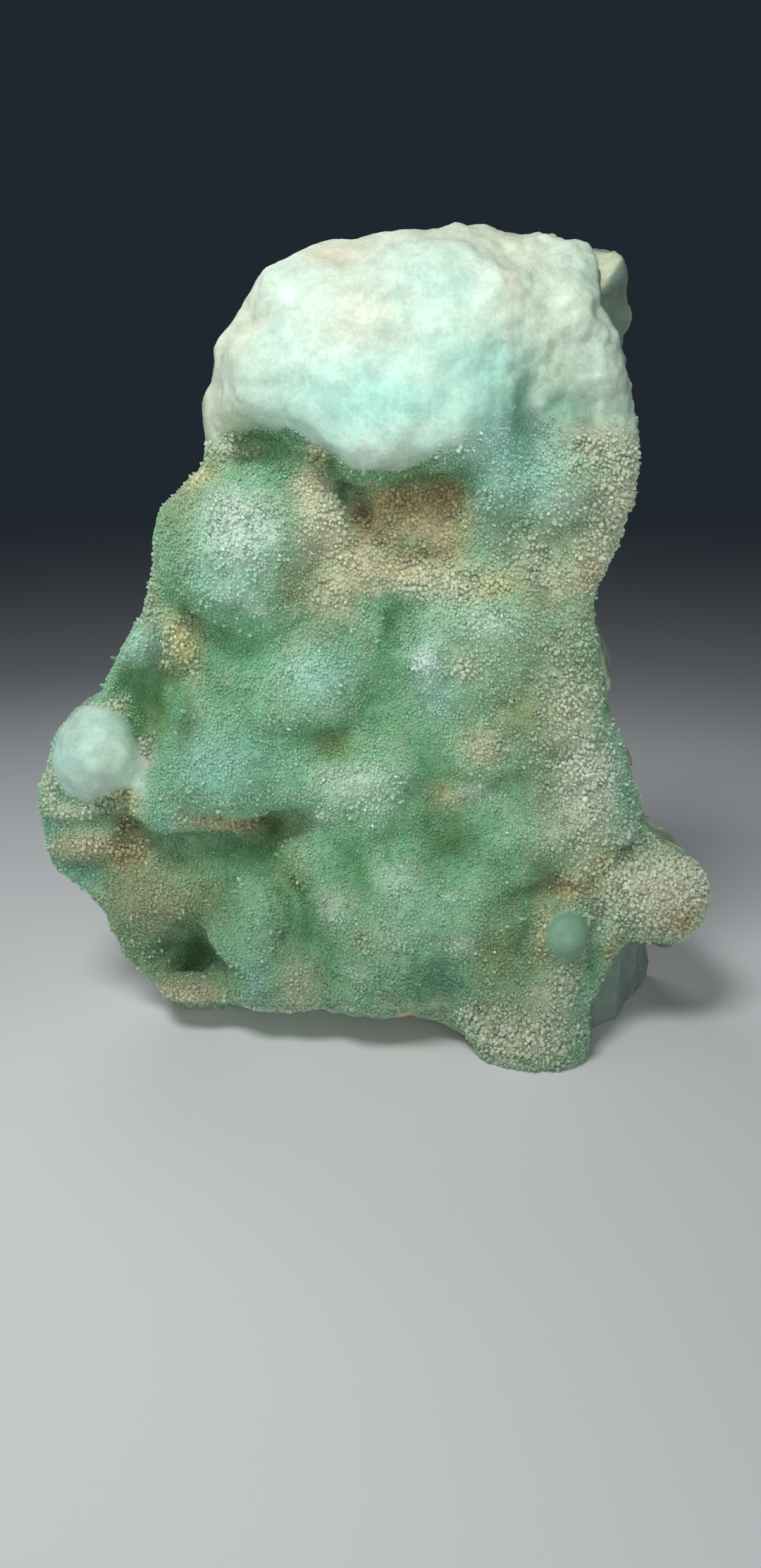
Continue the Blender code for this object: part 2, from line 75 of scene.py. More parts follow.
eye_lens = bpy.data.cameras.new("viewpoint")
eye_lens.sensor_fit = "VERTICAL"
eye_lens.sensor_height = SENSOR_HIGH
eye_lens.lens = SENSOR_HIGH * FOCAL / PICTURE_HIGH
eye_lens.clip_start = NEAREST_SEEN
eye = bpy.data.objects.new("viewpoint", eye_lens)
eye.location = (EYE_ASIDE, cad_box[0].y - EYE_BEFORE, EYE_HEIGHT)
eye.rotation_euler = (math.pi / 2 - LOOK_DOWN, 0.0, 0.0)
bpy.context.scene.collection.objects.link(eye)
bpy.context.scene.camera = eye


# The stone: one piece of aragonite that grew outwards as rounded bosses, its upper mass waxy and
# nearly white, the rest green where it is deep and pale where it stands out, in part as painted
# shade and painted light. Behind the crust it is broken across its growth bands.
STONE_CELL = 0.87 * MM

# How often the facets are evened out, each time once inwards and once back outwards.
FACETS_EVENED = 12
EVENED_IN_AND_OUT = (0.5, -0.52)
# The height over which the flat base gives way to the evened and lumpy sides.
BASE_FADE = (0.3, 2.0)
# How far the stone stands back under the crystals.
CRYSTAL_ROOM = 0.35
# The swells in the stone's colour and surface.
BROAD_WAVE = 9.0
MID_WAVE = 4.6
SMALL_WAVE = 2.4

# Where the crust ends at the back, as y, how ragged that edge is, and how much further back it
# reaches where the crust faces the front and above the crown's height.
CRUST_END = (-8.0, -4.0)
CRUST_RAGGED = 2.0
CRUST_AT_FRONT = 9.0
CRUST_AT_CROWN = 5.0
CROWN = 148.0
# The height below which the specimen's underside is bare.
UNDERSIDE_TOP = (9.0, 14.0)

# The lower edge of the waxy upper mass, as x and z. It is crisp at the left and fades out over
# more millimetres from one x to the other.
LIP = (
    (-36, 115),
    (-33, 117),
    (-28, 120),
    (-21, 121.5),
    (-13, 120),
    (-8, 116.5),
    (-4, 114),
    (4, 113.5),
    (9, 115.5),
    (15, 118),
    (21, 120),
    (27, 121),
    (34, 119),
    (41, 119),
    (52, 117),
)
LIP_FADE = 10.0
LIP_FADES = (8.0, 24.0)
# The x over which the waxy mass turns from billowy to crinkled.
CRINKLED = (16.0, 26.0)
# The two smooth knobs in the crust: a place on each, across and down in the picture, and half its
# width, depth and height.
PALE_KNOB = (132, 1076)
PALE_KNOB_HALF = (10.5, 9.0, 11.0)
TEAL_BALL = (816, 1331)
TEAL_BALL_HALF = (6.2, 5.5, 5.8)
# Where the crust ends against the broken plate at the upper right, as z and x.
PLATE_SIDE = ((134, 46.5), (143, 40.9), (153, 39.7), (157, 39.5))
PLATE_FOOT = (133, 135)
# The slanting edge that parts the plate's cream face, which faces up and is in part painted light,
# from its grey one: a place on it, as x and z, and the way from it that is up.
PLATE_CORNER = (42.1, 144)
PLATE_UPWARD = (-0.832, 0.555)
# The smooth broken block under the right knob: its left end as x, and the knob's underside above
# it as x and z.
BLOCK_END = (42.5, 44.5)
BLOCK_TOP = ((43, 12), (47, 16), (53, 21), (64, 19))

# What colours the stone, as red, green and blue from 0 to 255.
SHADES = {
    "jade": (126, 184, 140),
    "celadon": (156, 199, 164),
    # Frost, in part painted highlight.
    "frost": (215, 238, 219),
    "wax": (207, 226, 211),
    "turquoise": (168, 226, 212),
    "teal": (102, 164, 142),
    "sky": (180, 224, 208),
    "deep": (98, 162, 110),
    "pit": (66, 110, 60),
    "olive": (124, 146, 86),
    "sage": (160, 176, 140),
    "moss": (138, 148, 106),
    "ochre": (218, 210, 152),
    "cream": (210, 216, 186),
    "sand": (206, 202, 166),
    "brown": (186, 162, 108),
    "tan": (220, 210, 162),
    "umber": (134, 110, 64),
    "grey": (115, 135, 123),
    "blush": (218, 202, 176),
}
# The shades that come with blunt grains in place of glassy points, and how coarse each is.
GRAINY = {
    "ochre": 0.8,
    "cream": 1.0,
    "sand": 0.45,
    "brown": 0.7,
    "tan": 0.8,
    "umber": 0.8,
    "sage": 0.5,
}
# The shades that lie in hollows, where the crystals are smaller.
DIM = ("pit", "deep", "umber")
# Painted shade: the foot of the specimen is darker, most of all up to the first height and not at
# all above the second.
FOOT_PAINTED_SHADE = 0.22
FOOT_FADE = (10.0, 55.0)

# Where each shade shows, one laid over the other: across and down in the picture, half width and
# half height on the stone in millimetres, and strength.
STAINS = (
    # Paler green where the bosses stand out, in part painted light.
    ("celadon", 770, 660, 16, 20, 0.8),
    ("celadon", 700, 720, 7, 10, 0.5),
    ("celadon", 640, 880, 12, 5, 0.8),
    ("celadon", 690, 640, 6, 8, 0.6),
    ("celadon", 820, 660, 8, 8, 0.4),
    ("celadon", 430, 970, 8, 7, 0.5),
    ("celadon", 520, 1120, 10, 6, 0.6),
    ("turquoise", 365, 1350, 4, 9, 0.15),
    ("celadon", 560, 1434, 14, 2, 0.3),
    # Grey green down the right side and on the slopes.
    ("sage", 264, 698, 5, 6, 0.7),
    ("sage", 207, 930, 4, 6, 0.5),
    ("sage", 800, 1000, 9, 22, 0.85),
    ("sage", 700, 960, 11, 9, 0.35),
    ("sage", 690, 1060, 6, 6, 0.7),
    ("sage", 830, 1170, 10, 8, 0.8),
    ("sage", 470, 840, 6, 6, 0.8),
    ("sage", 860, 740, 8, 12, 0.7),
    ("sage", 750, 780, 8, 8, 0.6),
    ("sage", 420, 790, 4, 9, 0.5),
    ("sage", 745, 1460, 12, 8, 0.8),
    ("sage", 212, 860, 3, 10, 0.8),
    ("sage", 205, 1360, 9, 9, 0.7),
    # Dull green at the lower left and, weaker, on the right.
    ("moss", 205, 1272, 13, 9, 0.95),
    ("moss", 270, 1410, 9, 4, 0.8),
    ("moss", 128, 1205, 11, 5, 0.9),
    ("moss", 430, 1400, 6, 7, 0.4),
    ("moss", 710, 1370, 8, 9, 0.35),
    ("moss", 740, 1020, 6, 5, 0.4),
    # Blue green in the waxy mass and on some bosses.
    ("turquoise", 545, 565, 12, 6, 0.85),
    ("turquoise", 440, 560, 9, 7, 0.3),
    ("turquoise", 700, 508, 7, 5, 0.7),
    ("turquoise", 640, 500, 9, 6, 0.4),
    ("turquoise", 609, 400, 7, 6, 0.35),
    ("turquoise", 700, 600, 7, 9, 0.7),
    ("turquoise", 745, 660, 7, 8, 0.5),
    ("turquoise", 205, 925, 4, 6, 0.5),
    ("turquoise", 90, 1070, 6, 6, 0.35),
    ("turquoise", 300, 1092, 10, 6, 0.4),
    ("turquoise", 455, 955, 6, 5, 0.5),
    ("turquoise", 330, 820, 9, 5, 0.35),
    # Teal streaks beside the waxy mass and along the edges.
    ("teal", 742, 570, 2.5, 7, 0.95),
    ("teal", 746, 620, 2, 5, 0.4),
    ("teal", 800, 575, 7, 3, 0.85),
    ("teal", 884, 600, 3, 5, 0.6),
    ("teal", 768, 670, 4, 6, 0.25),
    ("teal", 690, 720, 2.5, 7, 0.45),
    ("teal", 835, 385, 1.5, 6, 0.35),
    ("teal", 876, 1080, 3.5, 11, 0.75),
    ("teal", 895, 1150, 3, 4, 0.8),
    ("teal", 107, 1243, 7, 3, 0.65),
    ("teal", 68, 1181, 3, 4, 0.9),
    ("teal", 228, 1168, 5, 5, 0.7),
    ("teal", 320, 1080, 12, 7, 0.35),
    ("teal", 822, 1450, 2.5, 7, 0.8),
    ("teal", 634, 1389, 5, 4, 0.5),
    ("teal", 363, 1398, 2.5, 6, 0.6),
    # Pale sky blue patches; on the ridge in the middle they are in part a painted highlight.
    ("sky", 602, 940, 4, 4, 0.9),
    ("sky", 618, 990, 4, 5, 0.7),
    ("sky", 360, 530, 9, 7, 0.3),
    ("sky", 470, 600, 8, 4, 0.5),
    ("sky", 345, 760, 8, 7, 0.5),
    ("sky", 363, 1398, 2, 4, 0.3),
    # Deep green in the hollows, in part painted shade.
    ("deep", 385, 625, 6, 4, 0.25),
    ("deep", 225, 1000, 7, 7, 0.9),
    ("deep", 350, 915, 6, 4, 0.7),
    ("deep", 556, 905, 2.5, 6, 0.7),
    ("deep", 606, 1072, 4, 7, 0.65),
    ("deep", 500, 1225, 6, 5, 0.8),
    ("deep", 433, 1325, 4, 7, 0.9),
    ("deep", 733, 1128, 3, 4, 0.6),
    ("deep", 540, 1010, 6, 5, 0.3),
    ("deep", 651, 783, 4, 2, 0.7),
    ("deep", 415, 763, 1.5, 5, 0.6),
    ("deep", 255, 850, 3, 6, 0.7),
    ("deep", 585, 662, 8, 1.5, 0.2),
    ("deep", 340, 1215, 9, 4, 0.6),
    ("deep", 210, 1355, 5, 5, 0.5),
    ("deep", 470, 1055, 6, 3, 0.5),
    ("deep", 645, 1190, 6, 5, 0.8),
    ("deep", 350, 1300, 7, 6, 0.3),
    # Olive where the hollows are stained.
    ("olive", 410, 827, 4, 5, 0.6),
    ("olive", 475, 1059, 4, 3, 0.8),
    ("olive", 632, 1128, 4, 4, 0.7),
    ("olive", 707, 1350, 6, 8, 0.6),
    ("olive", 706, 824, 5, 3, 0.6),
    ("olive", 280, 1275, 7, 4, 0.7),
    ("olive", 415, 1245, 5, 5, 0.7),
    ("olive", 518, 1338, 4, 4, 0.6),
    ("olive", 300, 660, 3, 2.5, 0.8),
    ("olive", 370, 630, 6, 3, 0.35),
    ("olive", 225, 1015, 5, 5, 0.5),
    ("olive", 600, 672, 7, 1.6, 0.45),
    ("olive", 178, 1165, 3, 3, 0.8),
    ("olive", 750, 1010, 4, 4, 0.4),
    ("olive", 840, 780, 4, 4, 0.35),
    ("olive", 250, 735, 4, 9, 0.4),
    # Sandy slopes round the pocket and at the lower left, and a few patches on the right.
    ("sand", 440, 690, 4, 4, 0.85),
    ("sand", 465, 740, 5, 6, 0.9),
    ("sand", 500, 790, 6, 5, 0.9),
    ("sand", 560, 815, 7, 3, 0.85),
    ("sand", 470, 850, 5, 5, 0.5),
    ("sand", 125, 1200, 6, 3, 0.8),
    ("sand", 215, 1290, 8, 5, 0.25),
    ("sand", 425, 1400, 4, 6, 0.5),
    ("sand", 262, 1412, 8, 3.5, 0.8),
    ("sand", 300, 1163, 7, 2.5, 0.7),
    ("sand", 683, 1065, 4, 3, 0.5),
    ("sand", 640, 1130, 4, 3, 0.45),
    ("sand", 800, 830, 5, 3, 0.5),
    # Cream on the crown, the right edge, the knob and the foot.
    ("cream", 680, 330, 16, 3, 0.5),
    ("cream", 480, 350, 14, 4, 0.5),
    ("cream", 530, 440, 8, 6, 0.35),
    ("cream", 727, 345, 4, 4, 0.7),
    ("cream", 340, 465, 5, 9, 0.75),
    ("cream", 303, 550, 4, 13, 0.8),
    ("cream", 320, 600, 4, 5, 0.5),
    ("cream", 800, 440, 10, 13, 0.4),
    ("cream", 848, 630, 7, 5, 0.7),
    ("cream", 884, 700, 5, 11, 0.85),
    ("cream", 850, 795, 4, 7, 0.75),
    ("cream", 640, 826, 9, 3.5, 0.8),
    ("cream", 468, 742, 3.5, 5, 0.5),
    ("cream", 770, 800, 4, 4, 0.5),
    ("cream", 812, 1003, 5, 6, 0.5),
    ("cream", 832, 1105, 6, 9, 0.8),
    ("cream", 660, 945, 3, 3, 0.5),
    ("cream", 930, 1262, 14, 10, 1.0),
    ("cream", 982, 1265, 8, 9, 0.95),
    ("cream", 725, 1475, 12, 6, 0.9),
    ("cream", 798, 1404, 4, 4, 0.7),
    ("cream", 265, 1424, 7, 1.8, 0.9),
    ("cream", 110, 1150, 9, 1.6, 0.75),
    ("cream", 68, 1112, 2, 4, 0.7),
    ("cream", 72, 1202, 2.5, 1.5, 0.6),
    ("cream", 166, 1000, 2.5, 1.5, 0.7),
    ("cream", 210, 1065, 1.8, 3, 0.8),
    ("cream", 345, 645, 3, 1.2, 0.6),
    ("cream", 500, 1430, 12, 1.2, 0.25),
    # Golden streaks at the left edge and round the teal ball.
    ("ochre", 282, 680, 3, 2.5, 0.8),
    ("ochre", 258, 912, 3.5, 6, 0.9),
    ("ochre", 240, 950, 2.5, 3, 0.5),
    ("ochre", 183, 1130, 4, 3, 0.7),
    ("ochre", 198, 1208, 3, 3, 0.7),
    ("brown", 969, 1305, 5, 3.5, 0.65),
    ("ochre", 871, 1345, 2.5, 3.5, 0.8),
    ("ochre", 815, 1256, 5, 2.5, 0.8),
    ("ochre", 772, 1330, 2, 6, 0.7),
    ("ochre", 850, 1225, 4, 3, 0.5),
    ("ochre", 700, 832, 5, 2, 0.5),
    # The floor of the brown pocket, and other brown seams.
    ("tan", 592, 740, 8, 5, 1.0),
    ("tan", 632, 745, 4, 5, 0.8),
    ("tan", 600, 805, 9, 3, 0.5),
    ("brown", 600, 706, 8, 2, 0.7),
    ("brown", 525, 745, 3, 3, 0.6),
    ("brown", 344, 1172, 7, 2, 0.75),
    ("brown", 172, 1208, 3, 3, 0.7),
    ("brown", 452, 650, 2.5, 2.5, 0.8),
    ("brown", 797, 1262, 3, 1.2, 0.6),
    ("brown", 838, 815, 3, 3, 0.4),
    # A warm blush in the waxy mass.
    ("blush", 483, 360, 4, 3, 0.45),
    ("blush", 529, 445, 5, 4, 0.22),
    ("blush", 722, 420, 1.5, 8, 0.5),
    ("blush", 450, 364, 4, 2, 0.3),
    # The brown top of the pocket, and dark brown in it and in the seam at the left; the dark brown
    # under the lip and along the pocket's left rim is in part painted shade.
    ("brown", 562, 712, 5, 3, 0.75),
    ("brown", 636, 704, 4, 3, 0.7),
    ("umber", 625, 697, 4, 1.2, 0.25),
    ("umber", 515, 730, 2.2, 3.5, 0.8),
    ("umber", 545, 765, 3, 1.8, 0.6),
    ("umber", 590, 785, 5, 1.5, 0.6),
    ("umber", 625, 783, 3, 1.5, 0.5),
    ("umber", 180, 1172, 2, 2.5, 0.7),
    ("umber", 370, 1166, 4, 1.2, 0.6),
    # The darkest green, in the deepest pits, in part painted shade.
    ("pit", 344, 650, 4, 1, 0.9),
    ("pit", 470, 660, 1.2, 3, 0.9),
    ("pit", 488, 695, 1.2, 4, 0.8),
    ("pit", 261, 1024, 3, 5, 0.7),
    ("pit", 388, 1173, 3, 2.5, 0.95),
    ("pit", 350, 1195, 8, 1.8, 0.4),
    ("pit", 278, 1348, 7, 5, 0.95),
    ("pit", 645, 1192, 4.5, 3.5, 0.95),
    ("pit", 752, 1262, 6, 1.4, 0.5),
    ("pit", 468, 1066, 3, 1.2, 0.6),
    ("pit", 433, 1330, 1.6, 4, 0.5),
    ("pit", 889, 1202, 3.5, 1.2, 0.7),
    ("pit", 268, 868, 1.5, 4, 0.6),
    ("pit", 560, 885, 1.5, 2.5, 0.5),
    # Frosted, nearly white patches, in part painted highlights.
    ("frost", 412, 407, 5, 4, 0.9),
    ("frost", 669, 455, 5, 4, 0.7),
    ("frost", 710, 430, 4, 3, 0.6),
    ("frost", 590, 525, 5, 3, 0.4),
    ("frost", 820, 480, 6, 6, 0.4),
    ("frost", 856, 548, 4, 4, 0.6),
    ("frost", 764, 567, 1.8, 2.5, 0.8),
    ("frost", 645, 621, 4, 4, 0.4),
    ("frost", 341, 748, 7, 8, 0.75),
    ("frost", 327, 845, 3, 1, 0.6),
    ("frost", 368, 868, 2, 1, 0.6),
    ("frost", 151, 1097, 4, 4, 0.45),
    ("frost", 601, 934, 2.5, 2.5, 0.8),
    ("frost", 695, 886, 5, 3, 0.6),
    ("frost", 790, 1185, 3, 2, 0.3),
    ("frost", 510, 1115, 8, 4, 0.5),
    ("frost", 565, 1256, 4, 3, 0.4),
    ("frost", 656, 1347, 3, 2.5, 0.7),
    ("frost", 642, 1269, 2, 1, 0.6),
    ("frost", 616, 1425, 2.5, 1.5, 0.6),
    ("frost", 504, 1382, 2.5, 1.5, 0.6),
    ("frost", 455, 1160, 3, 2, 0.6),
    ("frost", 896, 1185, 4, 1.5, 0.7),
    ("frost", 676, 1124, 2.5, 1.5, 0.7),
    ("frost", 804, 719, 4, 3, 0.6),
    ("frost", 470, 1290, 3, 3, 0.5),
    ("frost", 540, 1335, 6, 4, 0.3),
    ("frost", 308, 540, 4, 8, 0.6),
    ("frost", 830, 1108, 6, 9, 0.4),
)
STAIN_RAGGED = 0.4
STAIN_SWELL = 3.5
STAIN_DEEPER = 2.0


def with_modifier(thing, kind, **settings):
    """The object with one modifier of this kind applied."""
    modifier = thing.modifiers.new(kind.title(), kind)
    for name, value in settings.items():
        setattr(modifier, name, value)
    graph = bpy.context.evaluated_depsgraph_get()
    thing.data = bpy.data.meshes.new_from_object(thing.evaluated_get(graph))
    thing.modifiers.clear()
    return thing


def keep_main_body(mesh):
    """Drops the specks that remeshing leaves off sharp edges: the body with the top stays."""
    work = bmesh.new()
    work.from_mesh(mesh)
    top = max(work.verts, key=lambda vertex: vertex.co.z)
    joined = {top}
    waiting = [top]
    while waiting:
        vertex = waiting.pop()
        for edge in vertex.link_edges:
            other = edge.other_vert(vertex)
            if other not in joined:
                joined.add(other)
                waiting.append(other)
    specks = [vertex for vertex in work.verts if vertex not in joined]
    bmesh.ops.delete(work, geom=specks, context="VERTS")
    work.to_mesh(mesh)
    work.free()


def read_points(mesh, what="co"):
    """A vertex value of three numbers, one row for each vertex."""
    values = np.empty(len(mesh.vertices) * 3)
    mesh.vertices.foreach_get(what, values)
    return values.reshape(-1, 3)


def write_points(mesh, points):
    mesh.vertices.foreach_set("co", points.reshape(-1))
    mesh.update()


def smooth_step(value, low, high):
    """0 below low, 1 above high and an even S between."""
    t = np.clip((value - low) / (high - low), 0.0, 1.0)
    return t * t * (3.0 - 2.0 * t)


def along_line(value, line):
    """The second number of the line's points, read off at the first."""
    firsts, seconds = zip(*line)
    return np.interp(value, firsts, seconds)


def waves(points, size, octaves=2):
    """Smooth noise from about -1 to 1 at each point, its swells this far across."""
    return np.array([noise.fractal(Vector(p) / size, 0.8, 2.0, octaves) for p in points])


def lumps(points, size):
    """Rounded lumps of this size, packed together: above 0 on each and below 0 between them."""
    gaps = [noise.voronoi(Vector(p) / size)[0][0] for p in points]
    return np.sqrt(np.clip(1.0 - np.array(gaps) / 0.75, 0.0, None)) - 0.55


def evened(values, edges, times, share=0.5):
    """The values when each has moved this share of the way to the mean of its neighbours, this
    many times."""
    first, second = edges.T
    count = len(values)
    neighbours = np.bincount(first, minlength=count) + np.bincount(second, minlength=count)
    for _ in range(times):
        total = np.empty_like(values)
        for axis in range(values.shape[1]):
            total[:, axis] = np.bincount(first, values[second, axis], count)
            total[:, axis] += np.bincount(second, values[first, axis], count)
        values = values + share * (total / neighbours[:, None] - values)
    return values


def spot(across, down):
    """Where the line of sight through this place in the picture meets the stone."""
    aim = Vector((across - PICTURE_WIDE / 2, PICTURE_HIGH / 2 - down, -FOCAL))
    aim.rotate(eye.rotation_euler)
    return np.array(stone_tree.ray_cast(eye.location, aim.normalized())[0]) / MM


def near(points, place, half_wide, half_deep, half_high):
    """1 at the place, fading out over its half width, depth and height."""
    away = (points - place) / (half_wide, half_deep, half_high)
    return np.exp(-(away**2).sum(axis=1))


def shade(name):
    """The shade as a row of linear red, green and blue."""
    value = np.array(SHADES[name]) / 255.0
    return np.where(value > 0.04045, ((value + 0.055) / 1.055) ** 2.4, value / 12.92)


def laid_over(colours, name, weight):
    """The colours with this shade laid over them, by the weight at each point."""
    return colours + (shade(name) - colours) * weight[:, None]


def add_value(mesh, name, values):
    mesh.attributes.new(name, "FLOAT", "POINT").data.foreach_set("value", values)


def add_colours(mesh, colours):
    rows = np.column_stack([colours, np.ones(len(colours))])
    mesh.attributes.new("tint", "FLOAT_COLOR", "POINT").data.foreach_set("color", rows.ravel())


cad_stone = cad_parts["aragonite"]
stone = bpy.data.objects.new("stone", cad_stone.data.copy())
bpy.context.scene.collection.objects.link(stone)
stone = with_modifier(stone, "REMESH", mode="VOXEL", voxel_size=STONE_CELL)
keep_main_body(stone.data)
stone_edges = np.empty(len(stone.data.edges) * 2, np.int32)
stone.data.edges.foreach_get("vertices", stone_edges)
stone_edges = stone_edges.reshape(-1, 2)

# The facets are evened out, without drawing the form in, and the flat base stays where it is.
points = read_points(stone.data) / MM
off_base = smooth_step(points[:, 2], *BASE_FADE)
for _ in range(FACETS_EVENED):
    for share in EVENED_IN_AND_OUT:
        moved = evened(points, stone_edges, 1, share)
        points += (moved - points) * off_base[:, None]
write_points(stone.data, points * MM)
outward = read_points(stone.data, "normal")
stone_tree = BVHTree.FromObject(stone, bpy.context.evaluated_depsgraph_get())

# Which kind of surface each point lies on: the crust, which reaches further back where it faces
# the front or the top, the waxy mass and the two smooth knobs in it, and the bare broken rock.
x, y, z = points.T
broad_waves = waves(points, BROAD_WAVE)
small_waves = waves(points, SMALL_WAVE)
mid_waves = waves(points, MID_WAVE)
facing = evened(outward, stone_edges, 6)
frontal = smooth_step(-facing[:, 1], 0.15, 0.6)
back = y + CRUST_RAGGED * broad_waves - CRUST_AT_FRONT * frontal - CRUST_AT_CROWN * (z > CROWN)
crust = 1.0 - smooth_step(back, *CRUST_END)
plate = smooth_step(x - along_line(z, PLATE_SIDE), -0.5, 0.7) * smooth_step(z, *PLATE_FOOT)
block = smooth_step(x, *BLOCK_END) * smooth_step(along_line(x, BLOCK_TOP) - z, -1.0, 0.5)
underside = smooth_step(-facing[:, 2], 0.5, 0.8) * (1.0 - smooth_step(z, *UNDERSIDE_TOP))
broken_face = np.maximum(plate * frontal, block)
crust *= (1.0 - np.maximum(plate, block)) * (1.0 - underside) * smooth_step(z, 0.2, 0.8)
lip_fade = 1.0 + LIP_FADE * smooth_step(x, *LIP_FADES)
past_lip = z - along_line(x, LIP) + broad_waves
wax = smooth_step(past_lip / lip_fade, -0.4, 0.5)
pale_knob = smooth_step(near(points, spot(*PALE_KNOB), *PALE_KNOB_HALF), 0.21, 0.34)
teal_ball = smooth_step(near(points, spot(*TEAL_BALL), *TEAL_BALL_HALF), 0.3, 0.5)
wax = np.clip(np.maximum(wax, np.maximum(pale_knob, teal_ball)), 0.0, 1.0) * crust
druse = crust - wax
bare = 1.0 - crust

# How far each point lies in a hollow, over ten millimetres or so: below zero it stands out.
FAR_EVENED = 160
far_evened = evened(points, stone_edges, FAR_EVENED)
hollow = ((far_evened - points) * outward).sum(axis=1)

# Colour: green by depth, the waxy mass over it, then the stains, each ragged at its edge.
height = smooth_step(-hollow + 0.5 * mid_waves, -1.6, 1.6)
tint = np.tile(shade("jade"), (len(points), 1))
# Deeper green in the hollows is in part painted shade, and paler green on the heights in part
# painted light.
tint = laid_over(tint, "deep", 0.2 * (1.0 - smooth_step(height, 0.0, 0.5)))
tint = laid_over(tint, "celadon", 0.35 * smooth_step(height + 0.4 * small_waves, 0.45, 1.0))
tint = laid_over(tint, "sage", 0.45 * smooth_step(broad_waves + 0.5 * small_waves, 0.0, 0.8))
tint = laid_over(tint, "wax", wax * (1.0 - teal_ball))
tint = laid_over(tint, "cream", 0.25 * wax * smooth_step(broad_waves + small_waves, -0.1, 0.8))
tint = laid_over(tint, "turquoise", 0.25 * wax * smooth_step(small_waves - broad_waves, 0.0, 0.9))
tint = laid_over(tint, "sky", pale_knob * (0.4 + 0.2 * small_waves))
veins = 1.0 - smooth_step(np.abs(mid_waves + 0.4 * small_waves), 0.0, 0.25)
tint = laid_over(tint, "frost", 0.5 * pale_knob * veins)
coarse = np.zeros(len(points))
frost_and_highlight_patches = np.zeros(len(points))
dim = np.zeros(len(points))
ragged = 1.0 + STAIN_RAGGED * waves(points, STAIN_SWELL, 3)
for stain_shade, across, down, half_wide, half_high, strength in STAINS:
    half_deep = STAIN_DEEPER + (half_wide + half_high) / 2.0
    weight = near(points, spot(across, down), half_wide, half_deep, half_high) ** ragged
    weight *= strength * (1.0 - 0.8 * bare)
    # The frost patches, in part painted highlights, also whiten the crystal tips.
    if stain_shade == "frost":
        frost_and_highlight_patches = np.maximum(frost_and_highlight_patches, weight)
        weight = weight * (1.0 - 0.2 * druse)
    tint = laid_over(tint, stain_shade, weight)
    coarse *= 1.0 - 0.7 * weight
    coarse = np.maximum(coarse, GRAINY.get(stain_shade, 0.0) * weight)
    if stain_shade in DIM:
        dim = np.maximum(dim, weight)
# Painted shade, darker towards the foot.
tint *= (1.0 - FOOT_PAINTED_SHADE * (1.0 - smooth_step(z, *FOOT_FADE)))[:, None]
tint = laid_over(tint, "teal", 0.85 * teal_ball)
tint = laid_over(tint, "sage", 0.3 * teal_ball)
tint *= (1.0 - 0.2 * teal_ball - 0.15 * pale_knob)[:, None]
tint = laid_over(tint, "grey", bare)
# Cream on the plate above the slanting edge, in part painted light on its upward face.
above_corner = (x - PLATE_CORNER[0]) * PLATE_UPWARD[0] + (z - PLATE_CORNER[1]) * PLATE_UPWARD[1]
tint = laid_over(tint, "cream", 0.8 * plate * frontal * smooth_step(above_corner, -0.3, 0.5))

# Growth: lumps and swells under the crystals, soft wrinkles in the waxy mass, and hackly breaks.
FINE_LUMP = 2.3
DRUSE_LUMP = 3.1
DRUSE_BOSS = 6.5
BILLOW = 9.0
KNOB_FACET = 6.0
HACKLE = 6.0
NEAR_EVENED = 14

coarse *= druse
crinkled = smooth_step(x, *CRINKLED) * (1.0 - teal_ball)
fine_lumps = lumps(points, FINE_LUMP)
rise = druse * (0.3 * lumps(points, DRUSE_LUMP) + 0.35 * lumps(points, DRUSE_BOSS) + 0.2 * mid_waves)
rise += 0.95 * coarse * fine_lumps - druse * CRYSTAL_ROOM
billows = wax * (1.0 - np.maximum(teal_ball, 0.7 * pale_knob))
rise += billows * (0.8 * lumps(points, BILLOW) + 0.25 * mid_waves + 0.2 * small_waves)
rise += wax * 0.12 * fine_lumps + 0.5 * pale_knob * lumps(points, KNOB_FACET)
rise += wax * crinkled * (0.5 * fine_lumps + 0.15 * small_waves)
hackly = bare * (1.0 - broken_face)
rise += hackly * (0.35 * small_waves + 0.55 * waves(points, HACKLE, 4)) + 0.08 * bare * small_waves
points += outward * (rise * off_base)[:, None]
write_points(stone.data, points * MM)
outward = read_points(stone.data, "normal")
# Painted shade: the creases are darker, a little in the druse and most among the coarse grains.
near_evened = evened(points, stone_edges, NEAR_EVENED)
crease = ((near_evened - points) * outward).sum(axis=1)
tint *= (1.0 - (0.08 * druse + 0.5 * coarse) * smooth_step(crease, 0.0, 0.3))[:, None]

add_colours(stone.data, np.clip(tint, 0.0, 1.0))
add_value(stone.data, "banded", hackly)
add_value(stone.data, "wax", wax)


def shader_node(tree, kind, **settings):
    """A new node, with these settings and input values."""
    made = tree.nodes.new("ShaderNode" + kind)
    for name, value in settings.items():
        if name in made.inputs:
            made.inputs[name].default_value = value
        else:
            setattr(made, name, value)
    return made


def ramp_of(tree, *stops):
    """A colour ramp, its stops given as place and grey or colour."""
    ramp = shader_node(tree, "ValToRGB")
    while len(ramp.color_ramp.elements) < len(stops):
        ramp.color_ramp.elements.new(0.5)
    for element, (place, value) in zip(ramp.color_ramp.elements, stops):
        element.position = place
        element.color = (*value, 1.0) if isinstance(value, tuple) else (value,) * 3 + (1.0,)
    return ramp


